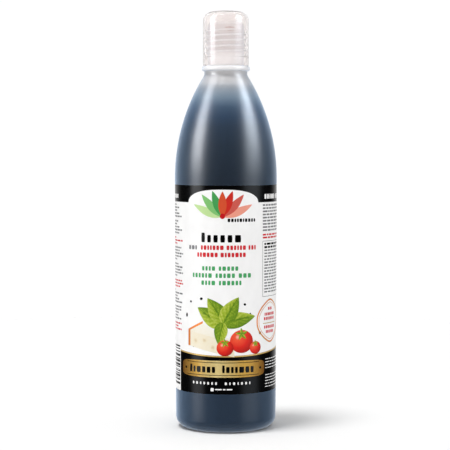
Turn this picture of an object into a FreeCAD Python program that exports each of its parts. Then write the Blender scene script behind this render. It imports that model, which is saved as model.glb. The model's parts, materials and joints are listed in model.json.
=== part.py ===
"""Squeeze bottle of balsamic glaze: blown bottle, glaze, wrap label, dripper insert and screw cap.

Millimetres. The bottle's axis is the Z axis, its foot stands on z = 0 and its front faces -Y.
Every piece is turned about the Z axis. The screw threads are left off the solids: the finish is
the plain cylinder at the thread's root, and the cap's bore is plain at the thread's crest.
"""
import FreeCAD
import Part
import Sketcher
import math
import os

# Driving dimensions: name, value, what it sets.
SIZES = [
    # Blown bottle, outside
    ("body_radius", 30.5, "outside radius where the wall meets the shoulder"),
    ("body_taper", 0.5, "how much narrower the wall is at the heel"),
    ("heel_radius", 6.9, "rounding between the wall and the foot"),
    ("foot_width", 3.1, "width of the flat ring that it stands on"),
    ("push_up", 4.0, "height of the hollow under the base"),
    ("foot_rounding", 2.0, "rounding of the foot's inner edge"),
    ("shoulder_start", 149.1, "height where the wall runs into the shoulder"),
    ("shoulder_height", 61.9, "height of the long shoulder curve"),
    ("neck_radius", 12.8, "outside radius of the neck"),
    ("neck_blend", 2.5, "rounding where the shoulder meets the neck"),
    ("neck_height", 2.4, "straight neck under the support ring"),
    ("ring_overhang", 1.6, "how far the support ring stands out of the neck"),
    ("ring_height", 2.8, "height of the support ring"),
    ("ring_rounding", 1.0, "rounding of the support ring's edges"),
    ("root_rounding", 0.3, "rounding where the neck and the finish meet the ring"),
    ("finish_radius", 10.75, "outside radius of the finish at the thread's root"),
    ("finish_height", 24.8, "height of the finish above the support ring"),
    ("lip_rounding", 0.5, "rounding of the lip's outer edge"),
    # Blown bottle, walls
    ("wall", 0.9, "wall of the body, heel and shoulder's foot"),
    ("base_wall", 1.4, "wall at the middle of the base"),
    ("neck_wall", 1.6, "wall of the neck"),
    ("finish_wall", 1.65, "wall of the finish at the thread's root"),
    # Glaze
    ("fill_drop", 6.3, "how far the glaze's surface is below the neck"),
    ("glaze_gap", 0.05, "clearance between the glaze and the wall"),
    # Wrap label
    ("label_foot_gap", 16.7, "bare wall between the heel and the label"),
    ("label_top_gap", 3.3, "bare wall between the label and the shoulder"),
    ("label_film", 0.1, "thickness of the label's film"),
    ("label_glue", 0.02, "clearance between the label and the wall"),
    ("label_lap", 8.0, "width of the lapped seam at the back"),
    # Dripper insert
    ("flange_thickness", 1.2, "insert's flange on top of the lip"),
    ("flange_setback", 0.4, "how far the flange stays inside the finish"),
    ("plug_gap", 0.05, "clearance between the insert's skirt and the bore"),
    ("skirt_wall", 1.0, "wall of the insert's skirt"),
    ("skirt_depth", 8.0, "depth of the insert's skirt in the bore"),
    ("skirt_lead", 0.4, "lead-in on the skirt's lower edge"),
    ("orifice_radius", 1.6, "radius of the orifice"),
    ("nozzle_height", 1.6, "height of the nozzle above the flange"),
    ("nozzle_base", 2.6, "wall of the nozzle at its base"),
    ("nozzle_tip", 1.0, "wall of the nozzle at its tip"),
    ("funnel_spread", 2.8, "how much wider the funnel is under the flange"),
    ("insert_rounding", 0.4, "rounding of the insert's edges"),
    # Screw cap
    ("thread_height", 1.1, "how far the bottle's thread stands out of the finish"),
    ("thread_gap", 0.25, "clearance between the thread's crest and the cap's bore"),
    ("cap_wall", 1.6, "wall of the cap beside the thread"),
    ("cap_roof", 1.5, "wall of the cap's top"),
    ("cap_headroom", 4.2, "free height between the nozzle and the cap's roof"),
    ("cap_rim_gap", 0.3, "clearance between the cap's rim and the support ring"),
    ("cap_corner", 5.7, "rounding between the cap's top and side"),
    ("crown_radius", 48.6, "radius of the cap's domed top"),
    ("lead_depth", 5.0, "height of the plain band inside the cap's mouth"),
    ("lead_relief", 0.45, "how much wider the plain band is than the bore"),
    ("rim_rounding", 0.3, "rounding of the cap's rim"),
    ("pin_gap", 0.1, "clearance between the cap's pin and the orifice"),
    ("pin_reach", 0.9, "how far the pin enters the orifice"),
    ("pin_draft", 0.35, "how much thicker the pin is at its root"),
    ("pin_rounding", 0.8, "rounding of the pin's end"),
    ("seal_standoff", 1.9, "free width between the nozzle and the sealing ring"),
    ("seal_wall", 0.8, "wall of the cap's sealing ring"),
]
SIZE = {name: value for name, value, note in SIZES}

# Radii and heights that pieces share, each a sum of the sizes above.
HEEL_WALL = "body_radius - body_taper"
FOOT_EDGE = HEEL_WALL + " - heel_radius"
FOOT_INNER = FOOT_EDGE + " - foot_width"
BORE = "finish_radius - finish_wall"
CAP_BORE = "finish_radius + thread_height + thread_gap"
NECK = "shoulder_start + shoulder_height"
RING_BOTTOM = NECK + " + neck_height"
RING_TOP = RING_BOTTOM + " + ring_height"
LIP = RING_TOP + " + finish_height"
FLANGE_TOP = LIP + " + flange_thickness"
NOZZLE_TOP = FLANGE_TOP + " + nozzle_height"
ROOF = NOZZLE_TOP + " + cap_headroom"
CAP_TOP = ROOF + " + cap_roof"
CAP_RIM = RING_TOP + " + cap_rim_gap"

CLOSE_ENOUGH = 0.001
FULL_TURN = 360.0

doc = FreeCAD.newDocument("balsamic_glaze_bottle")


def make_sheet():
    """The spreadsheet of driving dimensions, one row for each."""
    sheet = doc.addObject("Spreadsheet::Sheet", "Sizes")
    for row, (name, value, note) in enumerate(SIZES, start=1):
        sheet.set(f"A{row}", name)
        sheet.set(f"B{row}", str(value))
        sheet.set(f"C{row}", note)
        sheet.setAlias(f"B{row}", name)
    doc.recompute()


def value_of(total):
    """The value of a sum of sizes, such as 'body_radius - wall'."""
    value = 0.0
    sign = 1.0
    for word in total.split():
        if word in ("+", "-"):
            sign = 1.0 if word == "+" else -1.0
        else:
            value += sign * SIZE[word]
    return value


def bound(total):
    """The same sum as an expression on the spreadsheet."""
    words = [word if word in ("+", "-") else "Sizes." + word for word in total.split()]
    return " ".join(words)


def make_body(name):
    """An empty PartDesign body whose label names its file."""
    body = doc.addObject("PartDesign::Body", name)
    body.Label = name
    body.Placement = FreeCAD.Placement()
    return body


def new_sketch(body, name, plane):
    """A sketch on one of the body's own origin planes: x is the radius and y the height."""
    sketch = body.newObject("Sketcher::SketchObject", name)
    support = [part for part in body.Origin.OriginFeatures if part.Role == plane]
    sketch.AttachmentSupport = (support[0], [""])
    sketch.MapMode = "FlatFace"
    return sketch


def hold(sketch, label, kind, *where, total):
    """Add a dimension to the sketch and bind it to the spreadsheet."""
    number = sketch.addConstraint(Sketcher.Constraint(kind, *where, value_of(total)))
    sketch.renameConstraint(number, label)
    sketch.setExpression("Constraints." + label, bound(total))


class Corner:
    """A corner of a half-section, with the edge that leads to it from the corner before.

    r and z are sums of sizes, with "" for nought. The edge is straight where bulge is 0, and
    bulges to the right (1) or the left (-1) of the way it is drawn elsewhere: as an arc of the
    given radius, as a dome, an arc whose centre is on the axis, or as a smooth arc, tangent to
    the edge before it. A dome with a radius settles its own corner's height. The corner is
    rounded by an arc tangent to both of its edges where rounding is given.
    """

    def __init__(self, r, z, bulge=0, radius="", dome=False, smooth=False, rounding=""):
        self.r = r
        self.z = z
        self.bulge = bulge
        self.radius = radius
        self.dome = dome
        self.smooth = smooth
        self.rounding = rounding
        self.settles_height = dome and bool(radius)
        self.point = FreeCAD.Vector(value_of(r), value_of(z), 0)


def set_centre(corner, start, before):
    """Work out the centre of a corner's curved edge, and the corner's height if that settles it.

    before is where the edge before this one starts, for a smooth arc.
    """
    end = corner.point
    if corner.settles_height:
        dome = value_of(corner.radius)
        end.y = start.y - dome + math.sqrt(dome * dome - end.x * end.x)
        corner.centre = FreeCAD.Vector(0, start.y - dome, 0)
    elif corner.dome:
        rise = end.y - start.y
        reach = max(start.x, end.x)
        dome = (reach * reach + rise * rise) / (2 * abs(rise))
        corner.centre = FreeCAD.Vector(0, max(start.y, end.y) - dome, 0)
    elif corner.smooth:
        along = start.sub(before).normalize()
        inwards = FreeCAD.Vector(-along.y, along.x, 0).multiply(corner.bulge)
        chord = end.sub(start)
        corner.centre = start.add(inwards.multiply(chord.dot(chord) / (2 * chord.dot(inwards))))
    else:
        chord = end.sub(start)
        half = chord.Length / 2
        outwards = FreeCAD.Vector(chord.y, -chord.x, 0).normalize().multiply(corner.bulge)
        drop = math.sqrt(value_of(corner.radius) ** 2 - half * half)
        corner.centre = start.add(end).multiply(0.5).sub(outwards.multiply(drop))


def heading(corner, start, where):
    """Direction in which a corner's edge is drawn at one of its points."""
    if not corner.bulge:
        return corner.point.sub(start).normalize()
    spoke = where.sub(corner.centre).normalize()
    return FreeCAD.Vector(-spoke.y, spoke.x, 0).multiply(corner.bulge)


def edge_curve(corner, start, end):
    """The line or arc of a corner's edge between two points on or near it."""
    if not corner.bulge:
        return Part.LineSegment(start, end)
    to_start = start.sub(corner.centre)
    to_end = end.sub(corner.centre)
    radius = to_start.Length
    middle = to_start.add(to_end).normalize().multiply(radius)
    to_end = to_end.normalize().multiply(radius)
    return Part.Arc(start, corner.centre.add(middle), corner.centre.add(to_end))


def add_curve(sketch, curve, start):
    """Add a curve to the sketch and return its number, its start's and its end's position."""
    piece = sketch.addGeometry(curve, False)
    forward = sketch.getPoint(piece, 1).distanceToPoint(start) < CLOSE_ENOUGH
    return (piece, 1, 2) if forward else (piece, 2, 1)


def locate(sketch, number, corner, piece, position):
    """Dimension a corner's point from the axis and from the ground."""
    if corner.r:
        hold(sketch, f"radius_{number}", "DistanceX", -1, 1, piece, position, total=corner.r)
    else:
        sketch.addConstraint(Sketcher.Constraint("PointOnObject", piece, position, -2))
    if corner.settles_height:
        return
    if corner.z:
        hold(sketch, f"height_{number}", "DistanceY", -1, 1, piece, position, total=corner.z)
    else:
        sketch.addConstraint(Sketcher.Constraint("PointOnObject", piece, position, -1))


def draw_outline(body, name, corners, plane="XZ_Plane"):
    """Draw a closed half-section of corners in a sketch, fully held by the spreadsheet."""
    sketch = new_sketch(body, name, plane)
    count = len(corners)
    for number, corner in enumerate(corners):
        if corner.bulge:
            set_centre(corner, corners[number - 1].point, corners[number - 2].point)
    arrive = [corner.point for corner in corners]
    leave = list(arrive)
    blends = {}
    for number, corner in enumerate(corners):
        if not corner.rounding:
            continue
        following = corners[(number + 1) % count]
        before = heading(corner, corners[number - 1].point, corner.point)
        after = heading(following, corner.point, corner.point)
        bend = before.getAngle(after)
        cut = value_of(corner.rounding) * math.tan(bend / 2)
        arrive[number] = corner.point.sub(FreeCAD.Vector(before).multiply(cut))
        leave[number] = corner.point.add(FreeCAD.Vector(after).multiply(cut))
        inwards = FreeCAD.Vector(after).sub(before).normalize()
        offset = value_of(corner.rounding) * (1 / math.cos(bend / 2) - 1)
        middle = corner.point.add(inwards.multiply(offset))
        blends[number] = Part.Arc(arrive[number], middle, leave[number])
    edges = []
    for number, corner in enumerate(corners):
        curve = edge_curve(corner, leave[number - 1], arrive[number])
        edges.append(add_curve(sketch, curve, leave[number - 1]))
    for number, corner in enumerate(corners):
        piece, first, last = edges[number]
        following, next_first, next_last = edges[(number + 1) % count]
        if corner.rounding:
            blend, blend_first, blend_last = add_curve(sketch, blends[number], arrive[number])
            point = sketch.addGeometry(Part.Point(corner.point), True)
            sketch.addConstraint(Sketcher.Constraint("PointOnObject", point, 1, piece))
            sketch.addConstraint(Sketcher.Constraint("PointOnObject", point, 1, following))
            sketch.addConstraint(Sketcher.Constraint("Tangent", piece, last, blend, blend_first))
            tangent = Sketcher.Constraint("Tangent", blend, blend_last, following, next_first)
            sketch.addConstraint(tangent)
            hold(sketch, f"rounding_{number}", "Radius", blend, total=corner.rounding)
            locate(sketch, number, corner, point, 1)
        else:
            kind = "Tangent" if corners[(number + 1) % count].smooth else "Coincident"
            joint = Sketcher.Constraint(kind, piece, last, following, next_first)
            sketch.addConstraint(joint)
            locate(sketch, number, corner, piece, last)
        if corner.dome:
            sketch.addConstraint(Sketcher.Constraint("PointOnObject", piece, 3, -2))
        if corner.radius:
            hold(sketch, f"curve_{number}", "Radius", piece, total=corner.radius)
    if sketch.solve() != 0:
        raise RuntimeError(f"{name} can't be drawn with these sizes")
    return sketch


def turn(body, kind, name, sketch, angle=FULL_TURN):
    """Turn a sketch about the body's axis: a Revolution adds it and a Groove cuts it."""
    before = body.Shape.Volume if body.Tip else 0.0
    feature = body.newObject("PartDesign::" + kind, name)
    feature.Profile = sketch
    feature.ReferenceAxis = (sketch, ["V_Axis"])
    feature.Angle = angle
    body.Tip = feature
    doc.recompute()
    grows = kind == "Revolution"
    if (body.Shape.Volume > before) != grows:
        raise RuntimeError(f"{name} didn't change {body.Label} as it should")
    return feature


def make_bottle():
    """The blown shell: foot with a push-up, body, long shoulder, neck, support ring and finish."""
    body = make_body("bottle")
    ring = "neck_radius + ring_overhang"
    shell = draw_outline(body, "shell_outline", [
        Corner("", "push_up"),
        Corner(FOOT_INNER, "", bulge=-1, dome=True, rounding="foot_rounding"),
        Corner(FOOT_EDGE, ""),
        Corner(HEEL_WALL, "heel_radius", bulge=1, radius="heel_radius"),
        Corner("body_radius", "shoulder_start"),
        Corner("neck_radius", NECK, bulge=1, smooth=True, rounding="neck_blend"),
        Corner("neck_radius", RING_BOTTOM, rounding="root_rounding"),
        Corner(ring, RING_BOTTOM, rounding="ring_rounding"),
        Corner(ring, RING_TOP, rounding="ring_rounding"),
        Corner("finish_radius", RING_TOP, rounding="root_rounding"),
        Corner("finish_radius", LIP, rounding="lip_rounding"),
        Corner("", LIP),
    ])
    turn(body, "Revolution", "shell", shell)
    cavity = draw_outline(body, "cavity_outline", [
        Corner("", "push_up + base_wall"),
        Corner(FOOT_INNER, "wall", bulge=-1, dome=True, rounding="foot_rounding"),
        Corner(FOOT_EDGE, "wall"),
        Corner(HEEL_WALL + " - wall", "heel_radius", bulge=1, radius="heel_radius - wall"),
        Corner("body_radius - wall", "shoulder_start"),
        Corner("neck_radius - neck_wall", NECK, bulge=1, smooth=True, rounding="neck_blend"),
        Corner("neck_radius - neck_wall", RING_BOTTOM),
        Corner(BORE, RING_TOP),
        Corner(BORE, LIP),
        Corner("", LIP),
    ])
    turn(body, "Groove", "cavity", cavity)
    return body


def make_glaze():
    """The glaze: the bottle's cavity, cut level at the fill height."""
    body = make_body("glaze")
    floor = "wall + glaze_gap"
    inset = " - wall - glaze_gap"
    filling = draw_outline(body, "filling_outline", [
        Corner("", "push_up + base_wall + glaze_gap"),
        Corner(FOOT_INNER, floor, bulge=-1, dome=True, rounding="foot_rounding"),
        Corner(FOOT_EDGE, floor),
        Corner(HEEL_WALL + inset, "heel_radius", bulge=1, radius="heel_radius" + inset),
        Corner("body_radius" + inset, "shoulder_start"),
        Corner("neck_radius - neck_wall - glaze_gap", NECK, bulge=1, smooth=True),
        Corner("", NECK),
    ])
    turn(body, "Revolution", "filling", filling)
    headspace = draw_outline(body, "headspace_outline", [
        Corner("", NECK + " - fill_drop"),
        Corner("body_radius", NECK + " - fill_drop"),
        Corner("body_radius", RING_BOTTOM),
        Corner("", RING_BOTTOM),
    ])
    turn(body, "Groove", "headspace", headspace)
    return body


def draw_film(body, name, plane, offset):
    """Half-section of the label's film, parallel to the tapered wall and this far off it."""
    sketch = new_sketch(body, name, plane)
    low = FreeCAD.Vector(value_of(HEEL_WALL), value_of("heel_radius"), 0)
    high = FreeCAD.Vector(value_of("body_radius"), value_of("shoulder_start"), 0)
    bottom = value_of("heel_radius + label_foot_gap")
    top = value_of("shoulder_start - label_top_gap")
    film = value_of("label_film")

    def beside_wall(height, distance):
        share = (height - low.y) / (high.y - low.y)
        return FreeCAD.Vector(low.x + share * (high.x - low.x) + distance, height, 0)

    inner = value_of(offset)
    corners = [
        beside_wall(bottom, inner),
        beside_wall(bottom, inner + film),
        beside_wall(top, inner + film),
        beside_wall(top, inner),
    ]
    wall = sketch.addGeometry(Part.LineSegment(low, high), True)
    sides = []
    for number, corner in enumerate(corners):
        line = Part.LineSegment(corner, corners[(number + 1) % len(corners)])
        sides.append(sketch.addGeometry(line, False))
    for number, side in enumerate(sides):
        following = sides[(number + 1) % len(sides)]
        sketch.addConstraint(Sketcher.Constraint("Coincident", side, 2, following, 1))
    lower, outer, upper, inner_side = sides
    hold(sketch, "wall_low_radius", "DistanceX", -1, 1, wall, 1, total=HEEL_WALL)
    hold(sketch, "wall_low_height", "DistanceY", -1, 1, wall, 1, total="heel_radius")
    hold(sketch, "wall_high_radius", "DistanceX", -1, 1, wall, 2, total="body_radius")
    hold(sketch, "wall_high_height", "DistanceY", -1, 1, wall, 2, total="shoulder_start")
    sketch.addConstraint(Sketcher.Constraint("Parallel", outer, wall))
    sketch.addConstraint(Sketcher.Constraint("Parallel", inner_side, wall))
    sketch.addConstraint(Sketcher.Constraint("Horizontal", lower))
    sketch.addConstraint(Sketcher.Constraint("Horizontal", upper))
    hold(sketch, "bare_below", "DistanceY", wall, 1, lower, 1, total="label_foot_gap")
    hold(sketch, "bare_above", "DistanceY", upper, 2, wall, 2, total="label_top_gap")
    hold(sketch, "off_the_wall", "Distance", lower, 1, wall, total=offset)
    hold(sketch, "film_thickness", "Distance", lower, 2, inner_side, total="label_film")
    return sketch


def make_label():
    """The film that wraps the body, with its lapped seam at the back."""
    body = make_body("label")
    wrap = draw_film(body, "wrap_outline", "XZ_Plane", "label_glue")
    turn(body, "Revolution", "wrap", wrap)
    lap = draw_film(body, "lap_outline", "YZ_Plane", "label_glue + label_film")
    lap_angle = math.degrees(value_of("label_lap") / value_of("body_radius"))
    seam = turn(body, "Revolution", "lapped_seam", lap, lap_angle)
    seam.Midplane = True
    seam.setExpression("Angle", "Sizes.label_lap / Sizes.body_radius * 180 / pi")
    doc.recompute()
    return body


def make_spout_insert():
    """The dripper pressed into the mouth: skirt, flange on the lip, funnel and nozzle."""
    body = make_body("spout_insert")
    skirt_outer = BORE + " - plug_gap"
    skirt_inner = skirt_outer + " - skirt_wall"
    skirt_foot = LIP + " - skirt_depth"
    flange_edge = "finish_radius - flange_setback"
    section = draw_outline(body, "insert_outline", [
        Corner(skirt_outer, LIP),
        Corner(skirt_outer, skirt_foot + " + skirt_lead"),
        Corner(skirt_outer + " - skirt_lead", skirt_foot),
        Corner(skirt_inner, skirt_foot),
        Corner(skirt_inner, LIP, rounding="insert_rounding"),
        Corner("orifice_radius + funnel_spread", LIP),
        Corner("orifice_radius", FLANGE_TOP),
        Corner("orifice_radius", NOZZLE_TOP),
        Corner("orifice_radius + nozzle_tip", NOZZLE_TOP, rounding="insert_rounding"),
        Corner("orifice_radius + nozzle_base", FLANGE_TOP, rounding="insert_rounding"),
        Corner(flange_edge, FLANGE_TOP, rounding="insert_rounding"),
        Corner(flange_edge, LIP),
    ])
    turn(body, "Revolution", "insert", section)
    return body


def make_cap():
    """The clear screw cap: domed shell, plain band at its mouth, sealing ring and pin."""
    body = make_body("cap")
    side = CAP_BORE + " + cap_wall"
    band = CAP_BORE + " + lead_relief"
    band_top = CAP_RIM + " + lead_depth"
    shell = draw_outline(body, "shell_outline", [
        Corner("", CAP_TOP),
        Corner(side, "", bulge=-1, radius="crown_radius", dome=True, rounding="cap_corner"),
        Corner(side, CAP_RIM, rounding="rim_rounding"),
        Corner("", CAP_RIM),
    ])
    turn(body, "Revolution", "shell", shell)
    hollow = draw_outline(body, "bore_outline", [
        Corner("", ROOF),
        Corner(CAP_BORE, "", bulge=-1, radius="crown_radius - cap_roof", dome=True,
               rounding="cap_corner - cap_wall"),
        Corner(CAP_BORE, band_top + " + lead_relief"),
        Corner(band, band_top),
        Corner(band, CAP_RIM),
        Corner("", CAP_RIM),
    ])
    turn(body, "Groove", "bore", hollow)
    seal_inside = "orifice_radius + nozzle_base + seal_standoff"
    seal = draw_outline(body, "seal_outline", [
        Corner(seal_inside, FLANGE_TOP),
        Corner(seal_inside + " + seal_wall", FLANGE_TOP),
        Corner(seal_inside + " + seal_wall", ROOF),
        Corner(seal_inside, ROOF),
    ])
    turn(body, "Revolution", "sealing_ring", seal)
    pin_radius = "orifice_radius - pin_gap"
    pin = draw_outline(body, "pin_outline", [
        Corner("", NOZZLE_TOP + " - pin_reach"),
        Corner(pin_radius, NOZZLE_TOP + " - pin_reach", rounding="pin_rounding"),
        Corner(pin_radius, NOZZLE_TOP),
        Corner(pin_radius + " + pin_draft", ROOF),
        Corner("", ROOF),
    ])
    turn(body, "Revolution", "pin", pin)
    return body


def check_document(bodies):
    """Stop if any object failed to build or any piece isn't one sound solid."""
    for item in doc.Objects:
        if "Invalid" in item.State or "Error" in item.State:
            raise RuntimeError(f"{item.Label} failed: {item.State}")
    for body in bodies:
        shape = body.Shape
        if shape.isNull() or not shape.isValid() or len(shape.Solids) != 1:
            raise RuntimeError(f"{body.Label} isn't one sound solid")


make_sheet()
pieces = [make_bottle(), make_glaze(), make_label(), make_spout_insert(), make_cap()]
doc.recompute()
check_document(pieces)
os.makedirs("parts", exist_ok=True)
for piece in pieces:
    piece.Shape.exportStep(f"parts/{piece.Label}.step")
    print(f"{piece.Label}: {piece.Shape.Volume / 1000:.2f} ml of solid")
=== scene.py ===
"""The looks of a squeeze bottle of balsamic glaze: shell, glaze, label, dripper insert and clear cap."""

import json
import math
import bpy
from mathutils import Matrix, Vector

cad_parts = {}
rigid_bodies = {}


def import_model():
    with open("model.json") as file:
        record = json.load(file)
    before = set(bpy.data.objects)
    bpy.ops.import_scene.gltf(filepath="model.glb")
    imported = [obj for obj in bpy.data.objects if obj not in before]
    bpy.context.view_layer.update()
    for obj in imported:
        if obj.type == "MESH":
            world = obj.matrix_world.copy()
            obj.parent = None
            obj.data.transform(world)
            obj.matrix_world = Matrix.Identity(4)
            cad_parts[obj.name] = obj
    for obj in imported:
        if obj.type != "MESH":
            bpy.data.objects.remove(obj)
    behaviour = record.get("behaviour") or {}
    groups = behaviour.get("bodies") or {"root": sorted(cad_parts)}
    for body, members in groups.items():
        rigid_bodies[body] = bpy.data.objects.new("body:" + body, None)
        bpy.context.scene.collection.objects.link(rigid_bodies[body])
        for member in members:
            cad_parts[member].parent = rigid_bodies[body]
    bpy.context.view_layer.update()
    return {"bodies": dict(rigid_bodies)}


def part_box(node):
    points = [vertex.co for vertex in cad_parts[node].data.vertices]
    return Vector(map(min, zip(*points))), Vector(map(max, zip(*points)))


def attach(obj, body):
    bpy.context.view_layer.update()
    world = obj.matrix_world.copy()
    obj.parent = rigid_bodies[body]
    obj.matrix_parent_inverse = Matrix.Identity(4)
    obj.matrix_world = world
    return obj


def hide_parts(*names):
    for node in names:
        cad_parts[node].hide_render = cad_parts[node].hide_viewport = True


bl_info = {
    "name": "Balsamic Glaze Bottle",
    "version": (1, 0, 0),
    "blender": (4, 5, 0),
    "location": "View3D > Sidebar > Glaze Bottle",
    "description": "Builds a filled and labelled squeeze bottle with a clear screw cap",
    "category": "Add Mesh",
}

import bpy
import numpy as np

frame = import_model()

BODY = next(iter(frame["bodies"]))
TURN = 2 * math.pi
FRONT = -math.pi / 2
BOTTLE_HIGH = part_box("bottle")[1]
GLAZE_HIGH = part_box("glaze")[1]
LABEL_LOW, LABEL_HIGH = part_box("label")
INSERT_LOW, INSERT_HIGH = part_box("spout_insert")
CAP_LOW, CAP_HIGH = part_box("cap")


def amount(name, default, description, **more):
    """A number that a user may change."""
    return bpy.props.FloatProperty(name=name, description=description, default=default, **more)


def length(name, default, description):
    """A size in metres that a user may change."""
    return amount(name, default, description, min=0.0, precision=5, unit="LENGTH")


def angle_of(name, degrees, description):
    """An angle that a user may change."""
    return amount(name, math.radians(degrees), description, subtype="ANGLE")


def colour(name, default, description):
    """A linear colour that a user may change."""
    return bpy.props.FloatVectorProperty(
        name=name, description=description, default=default, size=3, min=0.0, max=1.0, subtype="COLOR"
    )


class GlazeBottleSizes(bpy.types.PropertyGroup):
    """Sizes of the blown shell and its thread."""

    wall: length("Wall", 0.0009, "Thickness of the blown wall")
    foot_inner: length("Foot, inside", 0.0200, "Inner radius of the flat foot")
    foot_outer: length("Foot, outside", 0.0231, "Outer radius of the flat foot")
    dome_rise: length("Dome", 0.0040, "Height of the pushed-up base over the foot")
    heel_radius: length("Heel", 0.0069, "Radius of the rounding between foot and wall")
    taper: length("Taper", 0.0005, "How much wider the wall is at the shoulder than at the heel")
    shoulder_start: length("Shoulder start", 0.1491, "Height at which the wall turns into the shoulder")
    shoulder_end: length("Shoulder end", 0.2110, "Height at which the shoulder meets the neck")
    neck_radius: length("Neck", 0.0128, "Radius of the plain neck")
    neck_inner: length("Neck, inside", 0.0112, "Inner radius of the plain neck")
    neck_blend: length("Neck blend", 0.0025, "Radius of the rounding between shoulder and neck")
    ring_radius: length("Support ring", 0.0144, "Radius of the support ring")
    ring_low: length("Support ring foot", 0.2134, "Height of the support ring's lower face")
    ring_high: length("Support ring top", 0.2162, "Height of the support ring's upper face")
    ring_edge: length("Support ring edge", 0.0010, "Rounding of the support ring's edges")
    finish_radius: length("Finish", 0.01075, "Radius of the finish under its thread")
    bore: length("Bore", 0.0091, "Radius of the mouth's bore")
    thread_crest: length("Thread crest", 0.01185, "Radius over the thread of the finish")
    thread_pitch: length("Thread pitch", 0.003175, "Rise of the thread in one turn")
    thread_low: length("Thread foot", 0.2225, "Height at which the thread starts")
    thread_high: length("Thread top", 0.2385, "Height at which the thread ends")
    parting_height: length("Parting line", 0.00005, "How far the mould's parting line stands proud")
    pinch_height: length("Pinch line", 0.0006, "How far the pinched seam stands proud under the base")
    meniscus: length("Meniscus", 0.0009, "How far the glaze creeps up the wall")


class GlazeCapSizes(bpy.types.PropertyGroup):
    """Sizes of the screw cap and of the dripper insert."""

    mouth_radius: length("Mouth", 0.01255, "Inner radius of the plain band at the cap's rim")
    mouth_height: length("Mouth band", 0.0050, "Height of the plain band at the cap's rim")
    bore: length("Bore", 0.0121, "Inner radius of the cap")
    roof: length("Roof", 0.2480, "Height of the roof's underside")
    crown_radius: length("Crown", 0.0486, "Radius of the cap's slightly domed top")
    corner: length("Corner", 0.0057, "Radius between side and top")
    thread_depth: length("Thread depth", 0.0004, "How far the cap's thread stands into the bore")
    seal_outer: length("Sealing ring, outside", 0.0069, "Outer radius of the ring that presses on the insert")
    seal_inner: length("Sealing ring, inside", 0.0061, "Inner radius of the ring that presses on the insert")
    pin_radius: length("Pin", 0.0015, "Radius of the pin that shuts the nozzle")
    pin_end: length("Pin end", 0.2429, "Height of the pin's tip")
    skirt_outer: length("Insert skirt, outside", 0.00905, "Outer radius of the insert's skirt")
    skirt_inner: length("Insert skirt, inside", 0.00805, "Inner radius of the insert's skirt")
    flange_top: length("Flange top", 0.2422, "Height of the insert's flange")
    funnel_radius: length("Funnel", 0.0044, "Radius of the funnel's wide end")
    orifice: length("Orifice", 0.0016, "Radius of the hole that the glaze runs out of")
    nozzle_base: length("Nozzle base", 0.0042, "Radius of the nozzle at the flange")
    nozzle_tip: length("Nozzle tip", 0.0026, "Radius of the nozzle at its tip")


class GlazeLabelSizes(bpy.types.PropertyGroup):
    """Sizes of the film and of what is printed on it."""

    film: length("Film", 0.00005, "Thickness of the film")
    glue: length("Glue", 0.00002, "Gap between the wall and the film")
    ink: length("Ink", 0.000008, "Step between one layer of ink and the next")
    lap: length("Lap", 0.0080, "Width of the film's overlap at the back")
    axis: length("Panel axis", 0.0020, "How far left of the front the panel's middle lies")
    band: length("Top band", 0.0100, "Height of the dark band along the top edge")
    foot: length("Foot field", 0.0222, "Height of the dark field above the film's lower edge")


class GlazeColours(bpy.types.PropertyGroup):
    """Colours of the bottle, linear."""

    slate: colour("Slate", (0.074, 0.195, 0.42), "The milky wall over the dark glaze")
    haze: colour("Haze", (0.40, 0.60, 0.88), "The milky wall's glow where it is seen edge on")
    mist: colour("Mist", (0.66, 0.78, 0.92), "The milky wall just under the glaze's level")
    milk: colour("Milk", (0.985, 0.965, 0.96), "The milky wall with nothing behind it")
    glaze: colour("Glaze", (0.010, 0.006, 0.004), "The balsamic glaze")
    film: colour("Film", (0.93, 0.925, 0.92), "The unprinted film")
    black: colour("Black ink", (0.0008, 0.0008, 0.0009), "Dark fields and titles")
    grey: colour("Grey ink", (0.20, 0.20, 0.21), "Small print")
    red: colour("Red ink", (0.62, 0.02, 0.03), "Red print")
    green: colour("Green ink", (0.06, 0.36, 0.12), "Green print")
    gold: colour("Gold foil", (0.62, 0.36, 0.07), "The plaque and its lines")
    copper: colour("Copper ink", (0.78, 0.25, 0.06), "The badge's outline")
    cap: colour("Cap", (1.0, 0.966, 0.956), "The clear plastic of the cap")
    insert: colour("Insert", (0.97, 0.94, 0.93), "The natural plastic of the insert")


# Surfaces ----------------


def unit(vector):
    """The vector divided by its own length."""
    return vector / np.linalg.norm(vector)


def arc(centre, radius, start, end, count):
    """Points centre + radius * (cos a, sin a), the angle a running evenly from start to end, in degrees."""
    a = np.radians(np.linspace(start, end, count))
    return np.column_stack([centre[0] + radius * np.cos(a), centre[1] + radius * np.sin(a)])


def rounded(corners, count=7):
    """An outline through corners (r, z, rounding). Each rounding puts in the arc that touches both sides of
    its corner: its centre lies on the bisector, rounding / sin(half the inner angle) from the corner."""
    rows = [np.array([corners[0][:2]])]
    for before, here, after in zip(corners, corners[1:], corners[2:]):
        corner, radius = np.array(here[:2]), here[2]
        if radius == 0:
            rows.append(corner[None])
            continue
        back, on = unit(np.array(before[:2]) - corner), unit(np.array(after[:2]) - corner)
        half = math.acos(np.clip(back @ on, -1, 1)) / 2
        centre = corner + unit(back + on) * radius / math.sin(half)
        first = corner + back * radius / math.tan(half) - centre
        last = corner + on * radius / math.tan(half) - centre
        start = math.atan2(first[1], first[0])
        sweep = (math.atan2(last[1], last[0]) - start + math.pi) % TURN - math.pi
        a = start + np.linspace(0, 1, count) * sweep
        rows.append(centre + radius * np.column_stack([np.cos(a), np.sin(a)]))
    rows.append(np.array([corners[-1][:2]]))
    return np.vstack(rows)


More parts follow.
